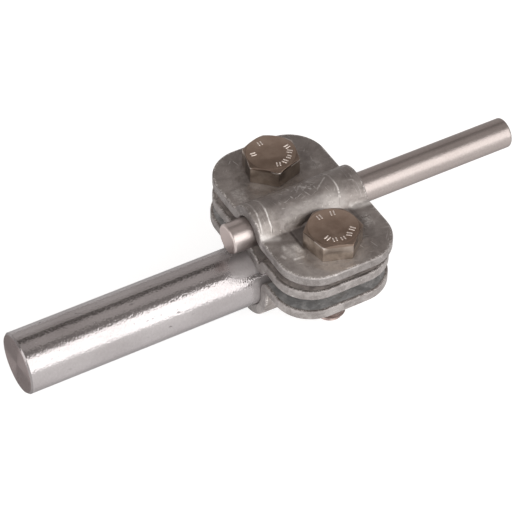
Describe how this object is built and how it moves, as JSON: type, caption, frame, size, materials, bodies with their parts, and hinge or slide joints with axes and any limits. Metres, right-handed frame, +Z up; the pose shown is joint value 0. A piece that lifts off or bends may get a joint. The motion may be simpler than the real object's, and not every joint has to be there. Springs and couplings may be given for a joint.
{
  "type": "disconnecting clamp",
  "caption": "Pressed-plate disconnecting clamp, screwed together, joining a thin round conductor to a thicker round earth rod lying below it.",
  "frame": {"origin": "on the earth rod's axis, midway between the two screws", "axes": "+X along both rods towards the conductor's long end, +Y from the front screw to the rear screw, +Z up from the earth rod to the conductor"},
  "size_m": [0.14, 0.0506, 0.033],
  "materials": {
    "zinc_plate": "hot-dip galvanised steel, dull grey",
    "zinc_rod": "galvanised steel rod, bright and speckled",
    "satin_rod": "drawn steel, satin",
    "screw_steel": "stainless steel, dark bronze tone"
  },
  "bodies": {
    "base": {"bottom_plate": "zinc_plate"},
    "earth_rod": {"earth_rod": "zinc_rod"},
    "middle": {"middle_plate": "zinc_plate"},
    "conductor": {"conductor_rod": "satin_rod"},
    "top": {"top_plate": "zinc_plate"},
    "screw_front": {"front_screw": "screw_steel"},
    "screw_rear": {"rear_screw": "screw_steel"}
  },
  "joints": [
    {"name": "clamp_opening", "type": "slide", "parent": "base", "child": "top", "axis": [0, 0, 1], "range_m": [0, 0.01]},
    {"name": "middle_plate_lift", "type": "slide", "parent": "base", "child": "middle", "axis": [0, 0, 1], "range_m": [0, 0.005]},
    {"name": "front_screw_turn", "type": "hinge", "parent": "top", "child": "screw_front", "pos_m": [0, -0.0152, 0.01685], "axis": [0, 0, 1], "range_deg": [0, 2880]},
    {"name": "rear_screw_turn", "type": "hinge", "parent": "top", "child": "screw_rear", "pos_m": [0, 0.0152, 0.01685], "axis": [0, 0, 1], "range_deg": [0, 2880]},
    {"name": "conductor_draw", "type": "slide", "parent": "middle", "child": "conductor", "axis": [1, 0, 0], "range_m": [0, 0.0365]},
    {"name": "earth_rod_draw", "type": "slide", "parent": "base", "child": "earth_rod", "axis": [-1, 0, 0], "range_m": [0, 0.0305]}
  ],
  "couplings": [
    {"joint": "middle_plate_lift", "follows": "clamp_opening", "ratio": 0.5},
    {"joint": "front_screw_turn", "follows": "clamp_opening", "rad_per_m": 5026.5},
    {"joint": "rear_screw_turn", "follows": "clamp_opening", "rad_per_m": 5026.5}
  ]
}
